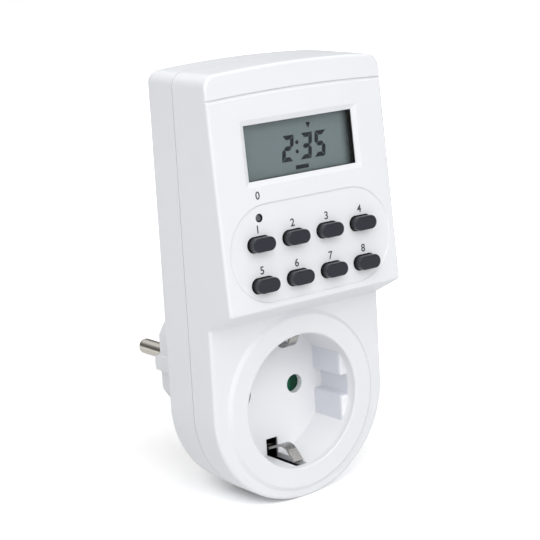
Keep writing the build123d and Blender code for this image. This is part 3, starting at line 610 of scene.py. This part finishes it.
def new_piece(name, mesh, material, body):
    """A finished piece at the origin that rides on a body, if one is given."""
    weld(mesh)
    if material:
        mesh.materials.clear()
        mesh.materials.append(material)
    piece = bpy.data.objects.new(name, mesh)
    bpy.context.scene.collection.objects.link(piece)
    if body:
        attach(piece, body)
    return piece


def plain_mesh(thing, name):
    """The shape of an object as it shows, as a plain mesh. The object itself goes."""
    if thing.name not in bpy.context.scene.collection.objects:
        bpy.context.scene.collection.objects.link(thing)
    shown = thing.evaluated_get(bpy.context.evaluated_depsgraph_get())
    mesh = bpy.data.meshes.new_from_object(shown)
    mesh.name = name
    bpy.data.objects.remove(thing)
    return mesh


def number_mesh(text):
    """A number with some thickness, centred on XY."""
    letters = bpy.data.curves.new("number", "FONT")
    letters.body = text
    letters.size = INK_HEIGHT / CAP_SHARE
    letters.resolution_u = INK_CURVE_STEPS
    letters.align_x = "CENTER"
    letters.align_y = "CENTER"
    letters.extrude = INK_THICKNESS / 2
    letters.offset = INK_SPREAD
    return plain_mesh(bpy.data.objects.new("number", letters), "number")


def printed_numbers():
    """Plain numbers above the keys, on the floor of the sunk field, and one above the reset pin."""
    places = []
    for key, text in KEY_NUMBERS.items():
        x, up = panel_middle(key)
        places.append((text, x, up + NUMBER_RISE, -FIELD_DEPTH))
    x, up = panel_middle("reset_button")
    places.append(("0", x, up + RESET_NUMBER_RISE, 0.0))
    shapes = bmesh.new()
    for text, x, up, face in places:
        mesh = number_mesh(text)
        mesh.transform(panel_matrix(x, up, face + INK_THICKNESS / 2))
        shapes.from_mesh(mesh)
        bpy.data.meshes.remove(mesh)
    mesh = bpy.data.meshes.new("printed_numbers")
    shapes.to_mesh(mesh)
    shapes.free()
    return new_piece("printed_numbers", mesh, INK, "housing")


def digit_segments():
    """Outlines of the seven segments of a digit that stands on the origin, lettered as usual."""
    w, h, t, e = DIGIT_WIDTH, DIGIT_HEIGHT, DIGIT_STROKE, DIGIT_GAP
    middle = h / 2
    top = [(e, h), (w - e, h), (w - t - e, h - t), (t + e, h - t)]
    right = [(w, h - e), (w - t, h - t - e), (w - t, middle + t / 2 + e),
             (w - t / 2, middle + e), (w, middle + t / 2 + e)]
    bar = [(t / 2 + e, middle), (t + e, middle + t / 2), (w - t - e, middle + t / 2),
           (w - t / 2 - e, middle), (w - t - e, middle - t / 2), (t + e, middle - t / 2)]

    def across(outline):
        return [(w - x, y) for x, y in outline]

    def upside_down(outline):
        return [(x, h - y) for x, y in outline]

    return {
        "a": top, "b": right, "c": upside_down(right), "d": upside_down(top),
        "e": upside_down(across(right)), "f": across(right), "g": bar,
    }


def add_plate(shapes, outline, thickness):
    """A closed thin plate of an outline on XY."""
    lower = [shapes.verts.new((x, y, 0.0)) for x, y in outline]
    upper = [shapes.verts.new((x, y, thickness)) for x, y in outline]
    shapes.faces.new(lower)
    shapes.faces.new(upper)
    for index in range(len(outline)):
        after = (index + 1) % len(outline)
        shapes.faces.new((lower[index], lower[after], upper[after], upper[index]))


def round_outline(x, y, radius, corners=24):
    turns = [2 * math.pi * index / corners for index in range(corners)]
    return [(x + radius * math.cos(turn), y + radius * math.sin(turn)) for turn in turns]


def display_marks():
    """Slanted digits of a time, its colon and two plain indicator marks, on the front of the glass."""
    outlines = []
    segments = digit_segments()
    for start, digit in DIGIT_PLACES:
        for letter in SEGMENTS[digit]:
            outlines.append([
                (start + x + DIGIT_SLANT * y, DIGIT_FOOT + y) for x, y in segments[letter]
            ])
    outlines += [round_outline(x, y, COLON_RADIUS) for x, y in COLON_PLACES]
    x, y = UPPER_MARK
    half = UPPER_MARK_SIZE / 2
    outlines.append([(x - half, y + half), (x + half, y + half), (x, y - half)])
    x, y = LOWER_MARK
    wide, high = LOWER_MARK_SIZE[0] / 2, LOWER_MARK_SIZE[1] / 2
    outlines.append([(x - wide, y - high), (x + wide, y - high), (x + wide, y + high), (x - wide, y + high)])
    shapes = bmesh.new()
    for outline in outlines:
        add_plate(shapes, outline, MARK_THICKNESS)
    bmesh.ops.recalc_face_normals(shapes, faces=shapes.faces)
    x, up = panel_middle("lcd_panel")
    face = panel_spans("lcd_panel")[2][1]
    shapes.transform(panel_matrix(x, up, face))
    mesh = bpy.data.meshes.new("display_marks")
    shapes.to_mesh(mesh)
    shapes.free()
    return new_piece("display_marks", mesh, DISPLAY_MARKS, "housing")


def separate_solids(node):
    """Lowest and highest corners of each separate solid of a node."""
    shapes = bmesh.new()
    shapes.from_mesh(frame["nodes"][node].data)
    bmesh.ops.remove_doubles(shapes, verts=shapes.verts, dist=WELD_REACH)
    left = set(shapes.verts)
    boxes = []
    while left:
        group = [left.pop()]
        for vertex in group:
            for edge in vertex.link_edges:
                other = edge.other_vert(vertex)
                if other in left:
                    left.remove(other)
                    group.append(other)
        points = [vertex.co for vertex in group]
        boxes.append((
            Vector([min(point[axis] for point in points) for axis in range(3)]),
            Vector([max(point[axis] for point in points) for axis in range(3)]),
        ))
    shapes.free()
    return boxes


def screw_tree(material):
    """Screws with a bevelled head and a cross recess, one on each point, heads towards +Y."""
    tree = bpy.data.node_groups.new("sunk_screws", "GeometryNodeTree")
    graph = Graph(tree)
    tree.interface.new_socket("Geometry", in_out="INPUT", socket_type="NodeSocketGeometry")
    for name in ("Head radius", "Head height", "Shank radius", "Shank length",
                 "Recess width", "Recess length", "Recess depth"):
        tree.interface.new_socket(name, in_out="INPUT", socket_type="NodeSocketFloat")
    tree.interface.new_socket("Geometry", in_out="OUTPUT", socket_type="NodeSocketGeometry")

    def given(name):
        return graph.node("NodeGroupInput", output=name)

    def vector(x, y, z):
        return graph.node("ShaderNodeCombineXYZ", {}, {"X": x, "Y": y, "Z": z})

    def moved(shape, z):
        return graph.node("GeometryNodeTransform", {}, {
            "Geometry": shape, "Translation": vector(0.0, 0.0, z)})

    half = given("Head height") * 0.5
    rim = graph.node("GeometryNodeMeshCylinder", {}, {
        "Vertices": SCREW_SIDES, "Radius": given("Head radius"), "Depth": half}, "Mesh")
    crown = graph.node("GeometryNodeMeshCone", {}, {
        "Vertices": SCREW_SIDES, "Radius Bottom": given("Head radius"),
        "Radius Top": given("Head radius") * SCREW_CROWN, "Depth": half}, "Mesh")
    shank = graph.node("GeometryNodeMeshCylinder", {}, {
        "Vertices": SHANK_SIDES, "Radius": given("Shank radius"), "Depth": given("Shank length")}, "Mesh")
    deep = given("Recess depth") * 2.0
    cross = [
        graph.node("GeometryNodeMeshCube", {}, {"Size": size}, "Mesh")
        for size in (
            vector(given("Recess length"), given("Recess width"), deep),
            vector(given("Recess width"), given("Recess length"), deep),
        )
    ]
    solid = graph.node("GeometryNodeMeshBoolean", {"operation": "UNION", "solver": "EXACT"}, {
        1: [moved(rim, given("Head height") * -0.75), moved(crown, given("Head height") * -0.5),
            moved(shank, given("Shank length") * -0.5 - given("Head height") * 0.95)]}, "Mesh")
    screw = graph.node("GeometryNodeMeshBoolean", {"operation": "DIFFERENCE", "solver": "EXACT"}, {
        0: solid, 1: cross}, "Mesh")
    screws = graph.node("GeometryNodeInstanceOnPoints", {}, {
        "Points": given("Geometry"), "Instance": screw, "Rotation": (math.radians(-90), 0.0, 0.0)})
    real = graph.node("GeometryNodeRealizeInstances", {}, {"Geometry": screws})
    done = graph.node("GeometryNodeSetMaterial", {}, {"Geometry": real, "Material": material})
    graph.node("NodeGroupOutput", {}, {"Geometry": done})
    return tree


def bending_spring():
    """The wire spring of the shutter, as a welded copy on no body; its two tips are found but not used, and the
    solid is hidden.
    """
    solid = frame["nodes"]["shutter_spring"]
    mesh = solid.data.copy()
    mesh.name = "bending_spring"

    def turn(vertex):
        return math.atan2(vertex.co.z - SOCKET.z, vertex.co.x - SOCKET.x)

    near, far = (pick(mesh.vertices, key=turn).co.copy() for pick in (min, max))
    piece = new_piece("bending_spring", mesh, FINISHES["spring_steel"], None)
    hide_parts("shutter_spring")
    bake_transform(piece)
    return piece


def sunk_screws():
    """The four screws that hold the shells together, seen in their wells on the back."""
    boxes = separate_solids("housing_screws")
    low, high = boxes[0]
    points = bpy.data.meshes.new("screw_places")
    points.from_pydata([((a.x + b.x) / 2, b.y, (a.z + b.z) / 2) for a, b in boxes], [], [])
    holder = bpy.data.objects.new("screw_places", points)
    tree = screw_tree(FINISHES["screw_steel"])
    modifier = holder.modifiers.new("screws", "NODES")
    modifier.node_group = tree
    sizes = {
        "Head radius": (high.x - low.x) / 2,
        "Head height": SCREW_HEAD_HEIGHT,
        "Shank radius": SCREW_SHANK_RADIUS,
        "Shank length": high.y - low.y - SCREW_HEAD_HEIGHT,
        "Recess width": SCREW_RECESS_WIDTH,
        "Recess length": SCREW_RECESS_LENGTH,
        "Recess depth": SCREW_RECESS_DEPTH,
    }
    for item in tree.interface.items_tree:
        if item.in_out == "INPUT" and item.name in sizes:
            modifier[item.identifier] = sizes[item.name]
    mesh = plain_mesh(holder, "sunk_screws")
    piece = new_piece("sunk_screws", mesh, None, "housing")
    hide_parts("housing_screws")
    return piece


# Studio

def studio_floor():
    """Pale floor with a painted contact shadow by the foot. To the camera it keeps the shadow, and is white away
    from it.
    """
    mesh = bpy.data.meshes.new("studio_floor")
    half = FLOOR_SIZE / 2
    level = cad_low.z
    corners = [(-half, -half, level), (half, -half, level), (half, half, level), (-half, half, level)]
    mesh.from_pydata(corners, [], [(0, 1, 2, 3)])
    finish = Finish("studio_floor")
    paper = finish.noise(FLOOR_PAPER, 2.0)
    seen = finish.seen()
    mirrored = finish.node("ShaderNodeLightPath", output="Is Glossy Ray")
    bounced = finish.node("ShaderNodeLightPath", output="Is Diffuse Ray")
    tone = finish.blend(paper, colour(0.84, 0.84, 0.84), colour(0.86, 0.86, 0.86))
    # Painted contact shadow: the floor darkens inside an oval around the foot.
    across = (finish.axis("X") - CONTACT_MIDDLE.x) * (1.0 / CONTACT_HALF_WIDTH)
    along = (finish.axis("Y") - CONTACT_MIDDLE.y) * (1.0 / CONTACT_HALF_LENGTH)
    clear = finish.ramp(finish.oval(across, along), *CONTACT_FADE)
    share = 1.0 - CONTACT_SHADE + CONTACT_SHADE * clear
    card = finish.node("ShaderNodeBsdfDiffuse", {}, {"Color": finish.blend(share, colour(0, 0, 0), tone)})
    lift = finish.node("ShaderNodeBsdfDiffuse", {}, {
        "Color": finish.blend(seen * share, colour(0, 0, 0), colour(FLOOR_LIFT, FLOOR_LIFT, FLOOR_LIFT))})
    far = finish.ramp(finish.length(finish.place), FLOOR_NEAR, FLOOR_FAR)
    glow = finish.node("ShaderNodeEmission", {}, {
        "Color": colour(1, 1, 1),
        "Strength": far * (seen + mirrored) + FLOOR_GLOW * mirrored * (1.0 - far) + FLOOR_BOUNCE * bounced})
    paper_light = finish.node("ShaderNodeAddShader", {}, {0: card, 1: lift})
    finish.node("ShaderNodeOutputMaterial", {}, {
        "Surface": finish.node("ShaderNodeAddShader", {}, {0: paper_light, 1: glow})})
    mesh.materials.append(finish.material)
    floor = bpy.data.objects.new("studio_floor", mesh)
    bpy.context.scene.collection.objects.link(floor)
    return floor


def studio_world():
    """White surround for the camera, a softer level as fill light, and a bright band in reflections."""
    world = bpy.data.worlds.new("studio")
    bpy.context.scene.world = world
    world.use_nodes = True
    graph = Graph(world.node_tree)
    seen = graph.seen()
    mirrored = graph.node("ShaderNodeLightPath", output="Is Glossy Ray")
    direction = graph.node("ShaderNodeTexCoord", output="Generated")
    height = graph.node("ShaderNodeSeparateXYZ", {}, {0: direction}, "Z")
    rising, falling = (graph.ramp(height, *span) for span in (BAND_FOOT, BAND_HEAD))
    band = BAND_DARK - SURROUND + (BAND_BRIGHT - BAND_DARK) * rising * (1.0 - BAND_FALL * falling)
    strength = SURROUND + (1.0 - SURROUND) * seen + mirrored * band
    light = graph.node("ShaderNodeBackground", {}, {"Color": colour(1, 1, 1), "Strength": strength})
    graph.node("ShaderNodeOutputWorld", {}, {"Surface": light})


def soft_box(name, place, target, size, watts):
    """A square soft box that looks at a point."""
    lamp = bpy.data.lights.new(name, "AREA")
    lamp.shape = "SQUARE"
    lamp.size = size
    lamp.energy = watts
    holder = bpy.data.objects.new(name, lamp)
    holder.location = place
    holder.rotation_euler = (Vector(target) - Vector(place)).to_track_quat("-Z", "Y").to_euler()
    bpy.context.scene.collection.objects.link(holder)
    return holder


def studio_lights(floor):
    """Soft boxes that all look at the middle of the housing."""
    middle = (cad_low + cad_high) / 2
    boxes = {name: soft_box(name, place, middle, size, watts) for name, (place, size, watts) in LAMPS.items()}
    spared = bpy.data.collections.new("spared_by_top_box")
    spared.objects.link(floor)
    spared.collection_objects[0].light_linking.link_state = "EXCLUDE"
    boxes["top_box"].light_linking.receiver_collection = spared


def photo_camera():
    """The photograph's viewpoint, with no shift."""
    lens = bpy.data.cameras.new("photo_camera")
    lens.lens = CAMERA_LENS
    lens.sensor_width = SENSOR_WIDTH
    lens.clip_start = CLIP_START
    lens.clip_end = CLIP_END
    camera = bpy.data.objects.new("photo_camera", lens)
    back = CAMERA_RIGHT.cross(CAMERA_UP)
    turn = Matrix((CAMERA_RIGHT, CAMERA_UP, back)).transposed().to_4x4()
    camera.matrix_world = Matrix.Translation(CAMERA_PLACE) @ turn
    bpy.context.scene.collection.objects.link(camera)
    bpy.context.scene.camera = camera


paint_solids()
printed_numbers()
display_marks()
sunk_screws()
bending_spring()
studio_lights(studio_floor())
studio_world()
photo_camera()
bpy.context.scene.view_settings.view_transform = "Standard"
